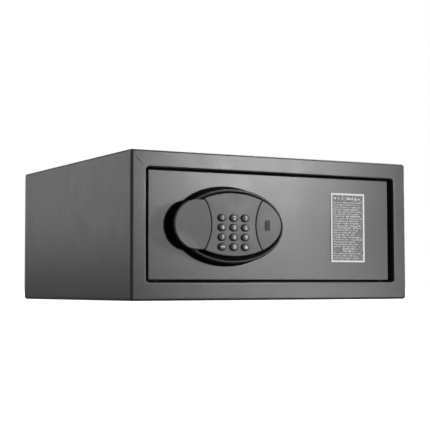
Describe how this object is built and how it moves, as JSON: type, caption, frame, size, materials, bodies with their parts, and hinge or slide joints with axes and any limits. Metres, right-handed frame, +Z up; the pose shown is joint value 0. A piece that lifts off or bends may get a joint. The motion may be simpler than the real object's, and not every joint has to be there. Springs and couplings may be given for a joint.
{
  "type": "in-room safe",
  "caption": "Low steel in-room safe with an inset hinged door, oval keypad lock with round ribbed grip, sliding emergency lock cover, motor-driven bolts and a label plate.",
  "frame": {"origin": "centre of the cabinet's underside", "axes": "+X to the right facing the door, +Y from the door to the back, +Z up"},
  "size_m": [0.43, 0.4176, 0.192],
  "materials": {
    "powder_coat": "fine textured semi-gloss dark grey powder coat",
    "zinc_plated": "zinc plated",
    "bright_steel": "ground",
    "felt": "needle felt",
    "label_film": "printed aluminium film",
    "rubber": "matt",
    "black_plastic": "moulded",
    "smoked_plastic": "polished",
    "grey_plastic": "silk painted",
    "key_plastic": "glossy",
    "circuit_board": "solder mask",
    "brass": "machined",
    "cell_wrap": "printed sleeve"
  },
  "bodies": {
    "cabinet": {"body_shell": "powder_coat", "back_panel": "powder_coat", "strike_plate": "zinc_plated", "hinge_bracket_upper": "zinc_plated", "hinge_bracket_lower": "zinc_plated", "floor_mat": "felt", "door_stop_upper": "powder_coat", "door_stop_lower": "powder_coat"},
    "door": {"door_plate": "powder_coat", "instruction_label": "label_film", "hinge_block_upper": "zinc_plated", "hinge_block_lower": "zinc_plated", "hinge_pin_upper": "bright_steel", "hinge_pin_lower": "bright_steel", "lock_gasket": "rubber", "lock_housing": "black_plastic", "pull_grip": "black_plastic", "display_lens": "smoked_plastic", "display_module": "black_plastic", "keypad_fascia": "grey_plastic", "keypad_membrane": "rubber", "keypad_board": "circuit_board", "key_cylinder": "bright_steel", "lock_screw_1": "zinc_plated", "lock_screw_2": "zinc_plated", "lock_screw_3": "zinc_plated", "wire_harness": "rubber", "bolt_guide": "zinc_plated", "gear_motor": "zinc_plated", "control_board": "circuit_board", "battery_holder": "black_plastic", "battery_cell_1": "cell_wrap", "battery_cell_2": "cell_wrap", "battery_cell_3": "cell_wrap", "battery_cell_4": "cell_wrap", "door_liner": "powder_coat", "liner_screw_1": "zinc_plated", "liner_screw_2": "zinc_plated", "liner_screw_3": "zinc_plated", "liner_screw_4": "zinc_plated"},
    "boltwork": {"bolt_carriage": "zinc_plated", "live_bolt_lower": "bright_steel", "live_bolt_upper": "bright_steel"},
    "pinion": {"drive_pinion": "brass"},
    "emergency_cover": {"override_cover": "grey_plastic"},
    "emergency_plug": {"key_plug": "brass", "override_cam": "zinc_plated"},
    "lid": {"battery_lid": "black_plastic"},
    "button_1": {"key_1": "key_plastic"},
    "button_2": {"key_2": "key_plastic"},
    "button_3": {"key_3": "key_plastic"},
    "button_4": {"key_4": "key_plastic"},
    "button_5": {"key_5": "key_plastic"},
    "button_6": {"key_6": "key_plastic"},
    "button_7": {"key_7": "key_plastic"},
    "button_8": {"key_8": "key_plastic"},
    "button_9": {"key_9": "key_plastic"},
    "button_clear": {"key_clear": "key_plastic"},
    "button_0": {"key_0": "key_plastic"},
    "button_lock": {"key_lock": "key_plastic"}
  },
  "joints": [
    {"name": "door_hinge", "type": "hinge", "parent": "cabinet", "child": "door", "pos_m": [0.178, -0.179, 0], "axis": [0, 0, 1], "range_deg": [0, 100]},
    {"name": "bolt_slide", "type": "slide", "parent": "door", "child": "boltwork", "axis": [-1, 0, 0], "range_m": [0, 0.018]},
    {"name": "pinion_spin", "type": "hinge", "parent": "door", "child": "pinion", "pos_m": [-0.09, -0.174, 0.0925], "axis": [0, 1, 0], "range_deg": [-115, 0]},
    {"name": "cover_slide", "type": "slide", "parent": "door", "child": "emergency_cover", "axis": [1, 0, 0], "range_m": [0, 0.022]},
    {"name": "plug_turn", "type": "hinge", "parent": "door", "child": "emergency_plug", "pos_m": [-0.034, -0.19, 0.0973], "axis": [0, 1, 0], "range_deg": [0, 90]},
    {"name": "battery_lid_lift", "type": "slide", "parent": "door", "child": "lid", "axis": [0, 1, 0], "range_m": [0, 0.03]},
    {"name": "key_1_press", "type": "slide", "parent": "door", "child": "button_1", "axis": [0, 1, 0], "range_m": [0, 0.0015], "stiffness_N_per_m": 500, "springref_m": -0.0004},
    {"name": "key_2_press", "type": "slide", "parent": "door", "child": "button_2", "axis": [0, 1, 0], "range_m": [0, 0.0015], "stiffness_N_per_m": 500, "springref_m": -0.0004},
    {"name": "key_3_press", "type": "slide", "parent": "door", "child": "button_3", "axis": [0, 1, 0], "range_m": [0, 0.0015], "stiffness_N_per_m": 500, "springref_m": -0.0004},
    {"name": "key_4_press", "type": "slide", "parent": "door", "child": "button_4", "axis": [0, 1, 0], "range_m": [0, 0.0015], "stiffness_N_per_m": 500, "springref_m": -0.0004},
    {"name": "key_5_press", "type": "slide", "parent": "door", "child": "button_5", "axis": [0, 1, 0], "range_m": [0, 0.0015], "stiffness_N_per_m": 500, "springref_m": -0.0004},
    {"name": "key_6_press", "type": "slide", "parent": "door", "child": "button_6", "axis": [0, 1, 0], "range_m": [0, 0.0015], "stiffness_N_per_m": 500, "springref_m": -0.0004},
    {"name": "key_7_press", "type": "slide", "parent": "door", "child": "button_7", "axis": [0, 1, 0], "range_m": [0, 0.0015], "stiffness_N_per_m": 500, "springref_m": -0.0004},
    {"name": "key_8_press", "type": "slide", "parent": "door", "child": "button_8", "axis": [0, 1, 0], "range_m": [0, 0.0015], "stiffness_N_per_m": 500, "springref_m": -0.0004},
    {"name": "key_9_press", "type": "slide", "parent": "door", "child": "button_9", "axis": [0, 1, 0], "range_m": [0, 0.0015], "stiffness_N_per_m": 500, "springref_m": -0.0004},
    {"name": "key_clear_press", "type": "slide", "parent": "door", "child": "button_clear", "axis": [0, 1, 0], "range_m": [0, 0.0015], "stiffness_N_per_m": 500, "springref_m": -0.0004},
    {"name": "key_0_press", "type": "slide", "parent": "door", "child": "button_0", "axis": [0, 1, 0], "range_m": [0, 0.0015], "stiffness_N_per_m": 500, "springref_m": -0.0004},
    {"name": "key_lock_press", "type": "slide", "parent": "door", "child": "button_lock", "axis": [0, 1, 0], "range_m": [0, 0.0015], "stiffness_N_per_m": 500, "springref_m": -0.0004}
  ],
  "couplings": [
    {"joint": "pinion_spin", "follows": "bolt_slide", "rad_per_m": -111.11}
  ]
}
